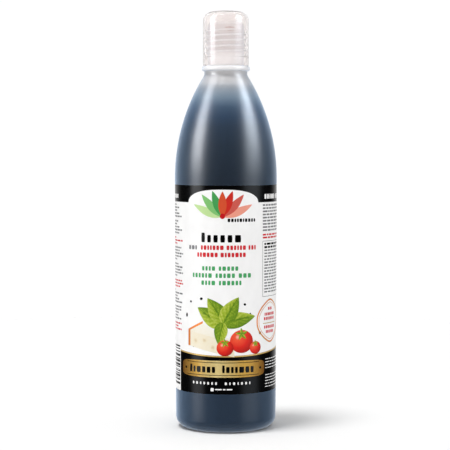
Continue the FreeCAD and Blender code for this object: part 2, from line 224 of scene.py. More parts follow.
def tangent_arc(start, direction, end, count):
    """The arc that leaves start along direction and passes through end: with q from start to end and n the
    unit normal to the left of the direction, its radius is q.q / (2 n.q) and its centre start + radius n."""
    start, end, along = np.array(start), np.array(end), unit(np.array(direction))
    normal = np.array([-along[1], along[0]])
    q = end - start
    radius = (q @ q) / (2 * (normal @ q))
    centre = start + radius * normal
    first = math.atan2(*(start - centre)[::-1])
    last = math.atan2(*(end - centre)[::-1])
    a = np.linspace(first, first + (last - first + math.pi) % TURN - math.pi, count)
    return centre + abs(radius) * np.column_stack([np.cos(a), np.sin(a)])


def spaced(outline, step):
    """The same outline with points put in, evenly, wherever two neighbours lie more than step apart."""
    gaps = np.hypot(*np.diff(outline, axis=0).T)
    parts = np.maximum(1, np.ceil(gaps / step)).astype(int)
    places = np.concatenate([i + np.arange(n) / n for i, n in enumerate(parts)] + [[len(parts)]])
    index = np.arange(len(outline))
    return np.column_stack([np.interp(places, index, outline[:, k]) for k in range(outline.shape[1])])


def grid_faces(rows, columns, closed_rows=False, closed_columns=False, first=0):
    """Four-sided faces between neighbours of a grid of points numbered row by row from first."""
    i = np.arange(rows if closed_rows else rows - 1)[:, None]
    j = np.arange(columns if closed_columns else columns - 1)[None, :]
    up, on = (i + 1) % rows, (j + 1) % columns
    corners = [i * columns + j, i * columns + on, up * columns + on, up * columns + j]
    return first + np.stack([c + 0 * i + 0 * j for c in corners], axis=-1).reshape(-1, 4)


def revolved(outline, angles, relief=None, lift=None):
    """Points ((r + relief) cos a, (r + relief) sin a, z + lift) for each outline point (r, z, ...) and each
    angle a. An end of the outline on the axis becomes one point with a fan of triangles. An outline with no
    end on the axis is a closed section, and its last row joins its first."""
    columns, on_axis = len(angles), 1e-9
    poles = outline[[0, -1], 0] < on_axis
    body = outline[int(poles[0]) : len(outline) - int(poles[1])]
    r = body[:, :1] + (relief(angles[None, :], body) if relief else 0)
    r = r + 0 * angles[None, :]
    x, y = r * np.cos(angles), r * np.sin(angles)
    z = body[:, 1:2] + (lift(x, y, body) if lift else 0) + 0 * x
    points = np.stack([x, y, z], axis=-1).reshape(-1, 3)
    faces = grid_faces(len(body), columns, not poles.any(), True).tolist()
    j = np.arange(columns)
    on = (j + 1) % columns
    if poles[0]:
        centre = np.array([[0, 0, z[0].mean()]])
        points = np.vstack([points, centre])
        faces += np.column_stack([0 * j + len(points) - 1, on, j]).tolist()
    if poles[1]:
        centre = np.array([[0, 0, z[-1].mean()]])
        points = np.vstack([points, centre])
        top = (len(body) - 1) * columns
        faces += np.column_stack([0 * j + len(points) - 1, top + j, top + on]).tolist()
    return points, faces


def even_angles(columns):
    """Angles of evenly spaced columns round the axis."""
    return np.arange(columns) * TURN / columns


def slab_faces(rows, columns):
    """Faces of an outer sheet of points and of the inner sheet that follows it, joined round their rim."""
    count = rows * columns
    outer = grid_faces(rows, columns)
    inner = grid_faces(rows, columns, first=count)[:, ::-1]
    number = np.arange(count).reshape(rows, columns)
    rim = np.concatenate([number[0], number[1:, -1], number[-1, -2::-1], number[-2:0:-1, 0]])
    following = np.roll(rim, -1)
    edge = np.column_stack([following, rim, rim + count, following + count])
    return np.vstack([outer, inner, edge]).tolist()


def thread(angle, z, low, high, pitch, height, width, turned=0.0):
    """Height of a right-hand thread: a ridge with sloping flanks about the line z = low + pitch * (angle /
    turn + turned), which rises from nothing and fades again over half a pitch at low and high."""
    phase = (z - low) / pitch - angle / TURN - turned
    off = np.abs(phase - np.round(phase)) * pitch
    flank, run = 0.3 * width, 0.5 * pitch
    ridge = np.clip((width / 2 - off) / flank, 0, 1)
    ends = np.clip((z - low) / run, 0, 1) * np.clip((high - z) / run, 0, 1)
    return height * ridge * ridge * (3 - 2 * ridge) * ends


def placed(name, data):
    """A new object of this mesh, lamp or camera in the scene."""
    made = bpy.data.objects.new(name, data)
    bpy.context.scene.collection.objects.link(made)
    return made


def add_piece(name, points, faces, material, nodes=(), smooth=True):
    """A mesh object of these points and faces that rides on the body and stands for the given nodes."""
    mesh = bpy.data.meshes.new(name)
    mesh.from_pydata(np.asarray(points).tolist(), [], faces)
    mesh.validate()
    mesh.polygons.foreach_set("use_smooth", np.full(len(mesh.polygons), smooth))
    mesh.materials.append(material)
    mesh.update()
    piece = placed(name, mesh)
    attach(piece, BODY)
    if nodes:
        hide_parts(*nodes)
    return piece


# Materials ----------------

NOISE_LOW, NOISE_HIGH = 0.3, 0.7  # the range that a noise mostly stays in


def node(tree, kind, inputs=None, **settings):
    """A new node with its settings; its inputs take plain values or other nodes' outputs."""
    made = tree.nodes.new(kind)
    for key, value in settings.items():
        setattr(made, key, value)
    for key, value in (inputs or {}).items():
        if isinstance(value, bpy.types.NodeSocket):
            tree.links.new(value, made.inputs[key])
        else:
            made.inputs[key].default_value = value
    return made


def empty_tree(owner):
    """The node tree of a material or world, with nothing in it yet."""
    owner.use_nodes = True
    owner.node_tree.nodes.clear()
    return owner.node_tree


def new_material(name, **plain):
    """A material with one Principled shader, the plain values set on its own sockets."""
    material = bpy.data.materials.new(name)
    material.use_nodes = True
    shader = material.node_tree.nodes["Principled BSDF"]
    for key, value in plain.items():
        shader.inputs[key.replace("_", " ")].default_value = value
    return material, material.node_tree, shader


def join(tree, output, shader, key):
    """Feeds one of the shader's sockets from a node's output."""
    tree.links.new(output, shader.inputs[key])


def object_place(tree, scale=(1, 1, 1)):
    """Object coordinates in metres, scaled along each axis."""
    place = node(tree, "ShaderNodeTexCoord")
    return node(tree, "ShaderNodeMapping", {"Vector": place.outputs["Object"], "Scale": scale}).outputs[0]


def height(tree):
    """The height above the foot, in metres."""
    place = node(tree, "ShaderNodeTexCoord")
    return node(tree, "ShaderNodeSeparateXYZ", {"Vector": place.outputs["Object"]}).outputs["Z"]


def noise(tree, vector, scale, detail=3.0):
    """A noise between 0 and 1 with so many blotches in a metre."""
    made = node(tree, "ShaderNodeTexNoise", {"Vector": vector, "Scale": scale, "Detail": detail})
    return made.outputs["Fac"]


def place_between(tree, value, low, high):
    """Where a value lies between low and high, from 0 to 1."""
    limits = {"Value": value, "From Min": low, "From Max": high}
    return node(tree, "ShaderNodeMapRange", limits).outputs["Result"]


def ranged(tree, value, low, high, first, last):
    """Takes a value between low and high to one between first and last, easing in and out."""
    inputs = {"Value": value, "From Min": low, "From Max": high, "To Min": first, "To Max": last}
    return node(tree, "ShaderNodeMapRange", inputs, interpolation_type="SMOOTHSTEP").outputs["Result"]


def ramp(tree, value, stops):
    """A colour that passes through stops (place, colour), places between 0 and 1."""
    made = node(tree, "ShaderNodeValToRGB", {"Fac": value})
    bar = made.color_ramp.elements
    for index, (place, tint) in enumerate(stops):
        stop = bar[index] if index < 2 else bar.new(place)
        stop.position = place
        stop.color = (*tint, 1.0)
    return made.outputs["Color"]


def uneven_gloss(tree, shader, value, low, high):
    """Roughness that goes from low to high over a noise's range."""
    join(tree, ranged(tree, value, NOISE_LOW, NOISE_HIGH, low, high), shader, "Roughness")


def bump(tree, shader, value, distance, strength):
    """Relief of the given depth in metres where the value goes from 0 to 1."""
    inputs = {"Height": value, "Distance": distance, "Strength": strength}
    join(tree, node(tree, "ShaderNodeBump", inputs).outputs["Normal"], shader, "Normal")


def mottled(tree, shader, tint, vector, scale, share):
    """The tint, made lighter and darker by the given share in blotches."""
    value = noise(tree, vector, scale)
    low = tuple(max(0.0, c * (1 - share)) for c in tint)
    high = tuple(min(1.0, c * (1 + share)) for c in tint)
    join(tree, ramp(tree, value, [(NOISE_LOW, low), (NOISE_HIGH, high)]), shader, "Base Color")


def math_of(tree, operation, *inputs):
    """The result of a Math node."""
    return node(tree, "ShaderNodeMath", dict(enumerate(inputs)), operation=operation).outputs[0]


def blend(tree, factor, first, second):
    """A colour that goes from the first to the second as the factor goes from 0 to 1."""
    made = node(tree, "ShaderNodeMix", data_type="RGBA")
    for key, value in ((0, factor), (6, first), (7, second)):
        if isinstance(value, bpy.types.NodeSocket):
            tree.links.new(value, made.inputs[key])
        else:
            made.inputs[key].default_value = (*value, 1.0)
    return made.outputs[2]


def between_turns(tree, bottle):
    """1 on the finish between the turns of its thread, where its plastic is thinnest and where a painted
    shade darkens the grooves, and 0 elsewhere: it falls with the distance from the axis, sqrt(x^2 + y^2),
    from the finish's radius to the crest's."""
    under, over = 0.001, 0.004
    flat = object_place(tree, (1, 1, 0))
    reach = node(tree, "ShaderNodeVectorMath", {"Vector": flat}, operation="LENGTH").outputs["Value"]
    root = ranged(tree, reach, bottle.finish_radius, bottle.thread_crest, 1.0, 0.0)
    foot = bottle.thread_low
    finish = ranged(tree, height(tree), foot - under, foot + over, 0.0, 1.0)
    return math_of(tree, "MULTIPLY", root, finish)


def plastic_of_shell(bottle, colours, level):
    """Milky blown plastic: slate over the glaze, paler and thicker up to the level, clear milk above, with a
    painted shade band just under the support ring. Tints and clear shares are stops (height over the level,
    value)."""
    material, tree, shader = new_material(
        "milky_plastic", IOR=1.5, Specular_IOR_Level=0.36, Sheen_Weight=0.62, Sheen_Roughness=0.52
    )
    shader.inputs["Sheen Tint"].default_value = (*colours.haze, 1.0)
    above = 0.012
    place = place_between(tree, height(tree), 0.0, level + above)

    def at(up):
        return (level + up) / (level + above)

    slate, mist, milk = (np.array(c) for c in (colours.slate, colours.mist, colours.milk))
    tints = [
        (-0.036, slate),
        (-0.025, slate * (1.0, 1.08, 1.12)),
        (-0.019, slate * (1.1, 1.3, 1.4)),
        (-0.0135, mist * (0.28, 0.50, 0.78)),
        (-0.0075, mist * (0.66, 0.80, 0.90)),
        (-0.0024, mist * 0.62 + milk * 0.10),
        (0.0012, mist * 0.1 + milk * 0.66),
        (0.0034, milk * 0.76),
        # This stop and the next darken the milk: a painted shade band in the neck just under the support
        # ring.
        (0.0064, milk * 0.64),
        (0.0084, milk * 0.70),
        (0.0090, milk),
    ]
    tint = ramp(tree, place, [(at(up), tuple(c)) for up, c in tints])
    # The finish between its thread turns takes a darker milk: partly its thinner plastic, partly painted
    # shade in the grooves.
    thin_and_shaded_milk = tuple(milk * (0.77, 0.71, 0.70))
    join(tree, blend(tree, between_turns(tree, bottle), tint, thin_and_shaded_milk), shader, "Base Color")
    shares = [
        (-0.165, 0.890),
        (-0.060, 0.952),
        (-0.036, 0.930),
        (-0.025, 0.905),
        (-0.019, 0.880),
        (-0.0135, 0.845),
        (-0.0075, 0.70),
        (-0.0024, 0.52),
        (0.0020, 0.42),
        (0.0055, 0.30),
        (0.0084, 0.26),
        (0.0095, 0.10),
    ]
    clear = ramp(tree, place, [(at(up), (share,) * 3) for up, share in shares])
    join(tree, clear, shader, "Transmission Weight")
    ripple = noise(tree, object_place(tree, (1, 1, 0.5)), 38.0, 1.0)
    uneven_gloss(tree, shader, ripple, 0.285, 0.31)
    bump(tree, shader, ripple, 0.00012, 0.06)
    return material


def glaze_material(colours):
    """Thick dark glaze with a faint brown cast and a smooth surface."""
    material, tree, shader = new_material("glaze", Roughness=0.3, IOR=1.45, Specular_IOR_Level=0.02)
    mottled(tree, shader, colours.glaze, object_place(tree), 90.0, 0.35)
    return material


def film_material(name, tint, roughness, share=0.03, gloss=0.10):
    """Printed film: a nearly even tint with a fine slack in the surface."""
    material, tree, shader = new_material(name, IOR=1.5, Specular_IOR_Level=gloss)
    place = object_place(tree, (1, 1, 0.5))
    mottled(tree, shader, tint, place, 140.0, share)
    slack = noise(tree, place, 45.0)
    uneven_gloss(tree, shader, slack, roughness - 0.05, roughness + 0.05)
    bump(tree, shader, slack, 0.0002, 0.25)
    return material


def cap_material(colours):
    """Clear moulded plastic, a little hazy, with faint flow lines, and a painted shade that darkens it where
    it is seen edge on.
    """
    material, tree, shader = new_material(
        "clear_plastic", IOR=1.13, Transmission_Weight=0.83, Coat_Weight=0.8, Coat_Roughness=0.13
    )
    flow = noise(tree, object_place(tree, (1, 1, 0.2)), 220.0)
    tint = np.array(colours.cap)
    streaks = ramp(tree, flow, [(NOISE_LOW, tuple(tint * 0.98)), (NOISE_HIGH, tuple(tint))])
    # Painted shade: the colour falls to 0.66 of the tint where the cap is seen edge on, standing in for its
    # grey outline.
    facing = node(tree, "ShaderNodeLayerWeight", {"Blend": 0.5}).outputs["Facing"]
    depth = ranged(tree, facing, 0.55, 0.85, 0.0, 1.0)
    join(tree, blend(tree, depth, streaks, tuple(tint * 0.66)), shader, "Base Color")
    uneven_gloss(tree, shader, flow, 0.09, 0.13)
    bump(tree, shader, flow, 0.0001, 0.15)
    return material


def insert_material(colours):
    """Natural soft plastic, milky and half clear."""
    material, tree, shader = new_material("insert_plastic", IOR=1.2, Transmission_Weight=0.3)
    mottled(tree, shader, colours.insert, object_place(tree), 260.0, 0.03)
    uneven_gloss(tree, shader, noise(tree, object_place(tree), 400.0), 0.3, 0.4)
    return material


# Bottle, glaze, insert and cap ----------------

EDGE = 0.0003  # rounding of small moulded edges
THREAD_STEP = 0.00022  # between the rows of points on a threaded wall
THREAD_COLUMNS = 160  # of points round a threaded piece
THREAD_WIDTH = 0.0014  # of the finish's ridge at its root
CAP_THREAD_WIDTH = 0.0015  # of the cap's
SEAM_WIDTH = 0.00018  # of the parting line
PINCH_WIDTH = 0.0007  # of the pinched seam
PINCH_END = 0.016  # its half length
PINCH_FADE = 0.004  # over which it dies away at its ends
CENTRE_EXTRA = 0.0014  # by which the base is thicker in its middle
CAVITY_SHOULDER = 34  # points along the shoulder's inside


def base_to_neck(bottle, gap, neck, dome_top, counts, step):
    """The outline, as (r, z), of the base, the heel, the wall and the shoulder, set in from the outside by
    gap. The base is the arc through its top, at dome_top, and the foot: with sag = dome_top - gap, its radius
    is (foot^2 + sag^2) / (2 sag). The shoulder is the arc that leaves the wall and ends at the neck."""
    base_count, heel_count, shoulder_count = counts
    foot = (BOTTLE_HIGH.x - bottle.taper - gap, bottle.heel_radius)
    wall = np.array([foot, (BOTTLE_HIGH.x - gap, bottle.shoulder_start)])
    sag = dome_top - gap
    dome = (bottle.foot_inner**2 + sag**2) / (2 * sag)
    edge = math.degrees(math.asin(bottle.foot_inner / dome))
    base = arc((0, dome_top - dome), dome, 90, 90 - edge, base_count)
    heel = arc((bottle.foot_outer, bottle.heel_radius), bottle.heel_radius - gap, -90, 0, heel_count)
    shoulder = tangent_arc(wall[1], wall[1] - wall[0], (neck, bottle.shoulder_end), shoulder_count)
    return base, heel, spaced(wall, step)[1:-1], shoulder


def shell_outside(bottle):
    """The outline of the shell's outside from the middle of the base up to the lip, as (r, z)."""
    neck, dome_top = bottle.neck_radius, bottle.dome_rise
    base, heel, wall, shoulder = base_to_neck(bottle, 0.0, neck, dome_top, (14, 12, 42), 0.008)
    corners = [
        (*shoulder[-2], 0),
        (*shoulder[-1], bottle.neck_blend),
        (bottle.neck_radius, bottle.ring_low, EDGE),
        (bottle.ring_radius, bottle.ring_low, bottle.ring_edge),
        (bottle.ring_radius, bottle.ring_high, bottle.ring_edge),
        (bottle.finish_radius, bottle.ring_high, EDGE),
        (bottle.finish_radius, BOTTLE_HIGH.z, 0.0005),
        (bottle.bore, BOTTLE_HIGH.z, 0.0),
    ]
    finish = rounded(corners)[1:]
    return np.vstack([base, heel, wall, shoulder[:-2], finish])


def shell_inside(bottle, clearance=0.0):
    """The outline of the cavity from the middle of the base up to the neck, as (r, z), smaller by the
    clearance. The wall is thicker in the middle of the base."""
    gap, neck = bottle.wall + clearance, bottle.neck_inner - clearance
    dome_top = bottle.dome_rise + CENTRE_EXTRA + clearance
    return np.vstack(base_to_neck(bottle, gap, neck, dome_top, (12, 10, CAVITY_SHOULDER), 0.012))


def make_shell(bottle, colours):
    """The blown shell: outside and cavity as one surface, with the finish's thread, the mould's parting line
    at the two sides and the pinched seam under the base. Each row of the outline also says whether it is
    threaded, carries the parting line or lies under the base. The two lines stand proud as
    height * exp(-(distance from the line / width)^2)."""
    outside = shell_outside(bottle)
    rim = BOTTLE_HIGH.z - EDGE
    mouth = [(bottle.neck_inner, bottle.ring_low), (bottle.bore, bottle.ring_high), (bottle.bore, rim)]
    inside = np.vstack([shell_inside(bottle), mouth])[::-1]
    rises = np.diff(outside[:, 1]) * (outside[:-1, 1] > bottle.ring_high)
    start = int(np.argmax(rises))
    column = spaced(outside[start : start + 2], THREAD_STEP)
    outside = np.vstack([outside[:start], column, outside[start + 2 :]])
    threaded = np.zeros(len(outside))
    threaded[start : start + len(column)] = 1
    proud = ((outside[:, 1] > bottle.heel_radius) & (outside[:, 1] < bottle.ring_low)).astype(float)
    under = (outside[:, 0] < bottle.foot_inner * 0.9) & (outside[:, 1] < bottle.heel_radius)
    outer = np.column_stack([outside, threaded, proud, under])
    inner = np.column_stack([inside, np.zeros((len(inside), 3))])
    outline = np.vstack([outer, inner])

    seams, beside = np.array([0.0, math.pi]), 0.02
    near = np.linspace(-beside, beside, 9)
    angles = np.concatenate([even_angles(THREAD_COLUMNS), *(seams[:, None] + near)]) % TURN
    angles = np.unique(np.round(angles, 6))

    def relief(angle, rows):
        z = rows[:, 1:2]
        crest = bottle.thread_crest - bottle.finish_radius
        low, high = bottle.thread_low, bottle.thread_high
        ridge = thread(angle, z, low, high, bottle.thread_pitch, crest, THREAD_WIDTH)
        off = np.abs((angle + math.pi / 2) % math.pi - math.pi / 2) * rows[:, :1]
        seam = bottle.parting_height * np.exp(-((off / SEAM_WIDTH) ** 2))
        return ridge * rows[:, 2:3] + seam * rows[:, 3:4]

    def lift(x, y, rows):
        fade = np.clip((PINCH_END - np.abs(x)) / PINCH_FADE, 0, 1)
        return -bottle.pinch_height * np.exp(-((y / PINCH_WIDTH) ** 2)) * fade * rows[:, 4:5]

    points, faces = revolved(outline, angles, relief, lift)
    material = plastic_of_shell(bottle, colours, GLAZE_HIGH.z)
    add_piece("shell", points, faces, material, ["bottle"])


def make_glaze(bottle, colours):
    """The glaze: the cavity's outline let into the wall by a third of its thickness, shut at the level by a
    flat top whose edge creeps up the wall as level + meniscus * exp(-(distance from the wall / 1.5 mm))."""
    into_wall, creep = 0.35, 0.0015
    upward = shell_inside(bottle, -into_wall * bottle.wall)
    level = GLAZE_HIGH.z - bottle.meniscus
    rows = upward[upward[:, 1] < level]
    shoulder = upward[-CAVITY_SHOULDER:]
    wall = float(np.interp(GLAZE_HIGH.z, shoulder[:, 1], shoulder[:, 0]))
    side = np.array([(wall, GLAZE_HIGH.z)])
    r = np.concatenate([wall - np.geomspace(0.00012, wall * 0.9, 22), [0.0]])
    top = np.column_stack([r, level + bottle.meniscus * np.exp(-(wall - r) / creep)])
    points, faces = revolved(np.vstack([rows, side, top]), even_angles(128))
    add_piece("glaze_fill", points, faces, glaze_material(colours), ["glaze"])


def make_insert(closure, colours):
    """The dripper insert: a skirt with a lead-in, a flange on the lip, a funnel under it and a short nozzle
    with rounded lips, as one closed section turned about the axis."""
    low, lip, high = INSERT_LOW.z, BOTTLE_HIGH.z, INSERT_HIGH.z
    flange = INSERT_HIGH.x
    corners = [
        (closure.skirt_inner, low, EDGE),
        (closure.skirt_outer - EDGE, low, 0),
        (closure.skirt_outer, low + 0.0004, 0),
        (closure.skirt_outer, lip, 0.0001),
        (flange, lip, EDGE),
        (flange, closure.flange_top, EDGE),
        (closure.nozzle_base, closure.flange_top, 0.0004),
        (closure.nozzle_tip, high, EDGE),
        (closure.orifice, high, EDGE),
        (closure.orifice, closure.flange_top, 0.0002),
        (closure.funnel_radius, lip, 0.0002),
        (closure.skirt_inner, lip, 0.0004),
        (closure.skirt_inner, low + 0.002, 0),
    ]
    section = rounded([corners[-1], *corners, corners[0]], 6)[1:-1]
    points, faces = revolved(section, even_angles(96))
    add_piece("insert", points, faces, insert_material(colours), ["spout_insert"])


def make_residue(bottle):
    """A thin smear of glaze dried on the finish under its lip: a patch of a cylinder over (u, v), both from
    -1 to 1. It is a hair thick at its wavy edge and thicker inside it by thick * (1 - u^2) * (1 - v^2)."""
    turn, half_turn = 0.22, 0.26
    drop, half_height = 0.0030, 0.0013
    thick, under, over = 0.00012, 0.00003, 0.00004
    u, v = np.meshgrid(np.linspace(-1, 1, 33), np.linspace(-1, 1, 17))
    angle = FRONT + turn + u * (half_turn + 0.03 * np.sin(5 * v))
    z = BOTTLE_HIGH.z - drop + v * (half_height + 0.0002 * np.cos(4 * u))
    outer = bottle.finish_radius + over + thick * (1 - u**2) * (1 - v**2)
    inner = bottle.finish_radius + under + 0 * u
    x, y = np.cos(angle), np.sin(angle)
    sheets = [np.stack([r * x, r * y, z], axis=-1).reshape(-1, 3) for r in (outer, inner)]
    material, tree, shader = new_material("residue", Roughness=0.4, Specular_IOR_Level=0.2)
    mottled(tree, shader, (0.50, 0.34, 0.30), object_place(tree), 900.0, 0.2)
    add_piece("glaze_residue", np.vstack(sheets), slab_faces(*u.shape), material)


def make_cap(bottle, closure, colours):
    """The clear cap: a slightly domed crown, rounded corner and plain side outside; inside a mouth band, the
    threaded bore, the roof with its sealing ring and the pin that stands in the nozzle."""
    top, rim, side = CAP_HIGH.z, CAP_LOW.z, CAP_HIGH.x
    band = rim + closure.mouth_height
    bend, bend_low = 0.0038, closure.roof - 0.0042
    bore_top, seat = closure.roof - 0.0045, closure.flange_top + 0.0001
    inset, far = side - closure.corner, closure.crown_radius - closure.corner
    corner_height = top - closure.crown_radius + math.sqrt(far**2 - inset**2)
    edge = math.degrees(math.acos(inset / far))
    crown = arc((0, top - closure.crown_radius), closure.crown_radius, 90, edge, 12)
    corner = arc((inset, corner_height), closure.corner, edge, 0, 12)
    rim_corners = [
        (*corner[-1], 0),
        (side, rim, 0.0004),
        (closure.mouth_radius, rim, 0.0004),
        (closure.mouth_radius, band, EDGE),
        (closure.bore, band + 0.0004, 0.0002),
        (closure.bore, bore_top, 0),
    ]
    skirt = rounded(rim_corners)[1:-1]
    inner_side = spaced(np.array([(closure.bore, band + 0.0007), (closure.bore, bore_top)]), THREAD_STEP)
    shoulder = arc((closure.bore - bend, bend_low), bend, 0, 80, 8)[1:]
    roof_corners = [
        (*shoulder[-1], 0),
        (closure.seal_outer, closure.roof - 0.0002, EDGE),
        (closure.seal_outer, seat, 0.00025),
        (closure.seal_inner, seat, 0.00025),
        (closure.seal_inner, closure.roof, EDGE),
        (closure.pin_radius + 0.00035, closure.roof, EDGE),
        (closure.pin_radius, closure.pin_end, 0.0008),
        (0.0, closure.pin_end, 0),
    ]
    roof = rounded(roof_corners)[1:]
    plain = np.vstack([crown, corner[1:], skirt])
    outline = np.vstack([plain, inner_side, shoulder, roof])
    threaded = np.zeros(len(outline))
    threaded[len(plain) : len(plain) + len(inner_side)] = 1
    outline = np.column_stack([outline, threaded])[::-1]

    def relief(angle, rows):
        z, half_a_turn = rows[:, 1:2], 0.5
        high, pitch = bottle.thread_high, bottle.thread_pitch
        ridge = thread(angle, z, band, high, pitch, closure.thread_depth, CAP_THREAD_WIDTH, half_a_turn)
        return -ridge * rows[:, 2:3]

    points, faces = revolved(outline, even_angles(THREAD_COLUMNS), relief)
    add_piece("cap_clear", points, faces, cap_material(colours), ["cap"])


# Label ----------------

MM = 0.001
COLUMN = 0.5 * MM  # widest step of a patch along the wall, so that it follows the round
BLUNT = 0.03  # half the width, in millimetres, at which a leaf's or a wedge's tip ends
SEED = 7  # of the uneven widths of bars and stripes

# Lines of word-like bars on the front, in millimetres: ink, left, right, low, high and, where they aren't 0,
# the extra space between bars as a share of their height and the first bar's extra height.
FRONT_LINES = (
    ("black", 3.0, 20.2, 124.6, 126.6),
    ("black", -12.9, 12.0, 112.7, 117.0, 0.12, 1.3),
    ("grey", -21.9, -14.6, 108.3, 110.7),
    ("red", -13.2, 21.4, 108.3, 110.9, -0.02),
    ("red", -15.7, 14.4, 104.1, 106.7, -0.02),
    ("green", -12.4, 10.8, 96.2, 98.7, 0.05),
    ("green", -19.0, 17.8, 92.0, 94.6, 0.05),
    ("green", -12.9, 11.2, 87.7, 90.3, 0.05),
)

# The picture of food: leaves (turn in degrees, reach, width, bend), holes in the cheese (place along it and
# up it, size), fruit (s, z, size, layer) and drops (s, z).
LEAVES = ((158, 20, 10.5, -0.12), (118, 18.5, 10.5, 0.10), (22, 21, 9.6, -0.16), (66, 18.5, 10.0, -0.10))
HOLES = ((0.14, 0.45, 0.16), (0.36, 0.65, 0.12), (0.55, 0.32, 0.15), (0.78, 0.60, 0.12))
FRUIT = ((11.5, 54.6, 14.4, 7), (1.5, 50.8, 10.0, 8), (20.5, 50.6, 8.0, 8))
DROPS = (
    (-20.5, 77.5),
    (-13.0, 79.5),
    (6.5, 78.3),
    (13.4, 76.3),
    (16.8, 70.3),
    (-24.0, 69.4),
    (-18.6, 51.5),
    (24.0, 59.0),
)

EMBLEM_STOPS = (
    (0.0, (0.60, 0.78, 0.36)),
    (0.20, (0.20, 0.52, 0.16)),
    (0.38, (0.03, 0.30, 0.07)),
    (0.52, (0.72, 0.05, 0.02)),
    (0.75, (0.52, 0.005, 0.01)),
    (0.97, (0.85, 0.33, 0.24)),
)
LEAF_STOPS = (
    (0.0, (0.05, 0.13, 0.008)),
    (0.35, (0.15, 0.28, 0.012)),
    (0.6, (0.34, 0.45, 0.03)),
    (1.0, (0.64, 0.69, 0.15)),
)
CHEESE_STOPS = ((0.0, (0.62, 0.46, 0.24)), (0.4, (0.85, 0.76, 0.56)), (1.0, (0.90, 0.87, 0.78)))
FRUIT_STOPS = (
    (0.0, (0.98, 0.62, 0.48)),
    (0.14, (0.88, 0.10, 0.04)),
    (0.6, (0.72, 0.02, 0.012)),
    (1.0, (0.36, 0.008, 0.006)),
)


def wall_radius(bottle, z):
    """Radius of the wall's outside at height z, which grows evenly from the heel to the shoulder."""
    down = (bottle.shoulder_start - z) / (bottle.shoulder_start - bottle.heel_radius)
    return BOTTLE_HIGH.x - bottle.taper * down


def make_film(bottle, label, colours):
    """The film: one sheet wound once round the wall and over its own start, so that radius = wall + glue +
    (film + glue) * a smooth step over the lap's edge, with a second face one film further out."""
    low, high = LABEL_LOW.z, LABEL_HIGH.z
    back, ease = math.pi / 2, 0.02
    half = label.lap / 2 / LABEL_HIGH.x
    columns, rows = 380, 42
    angle = np.linspace(back - half, back + half + TURN, columns)
    z = np.linspace(low, high, rows)
    over = np.clip((angle - (back - half + TURN) + ease) / ease, 0, 1)
    step = over * over * (3 - 2 * over) * (label.film + label.glue)
    sides = []
    for layer in (label.film, 0.0):
        r = wall_radius(bottle, z)[:, None] + label.glue + layer + step[None, :]
        x, y = r * np.cos(angle), r * np.sin(angle)
        sides.append(np.stack([x, y, z[:, None] + 0 * x], axis=-1))
    points = np.concatenate([side.reshape(-1, 3) for side in sides])
    faces = slab_faces(rows, columns)
    material = film_material("label_film", colours.film, 0.36)
    add_piece("label_film", points, faces, material, ["label"])


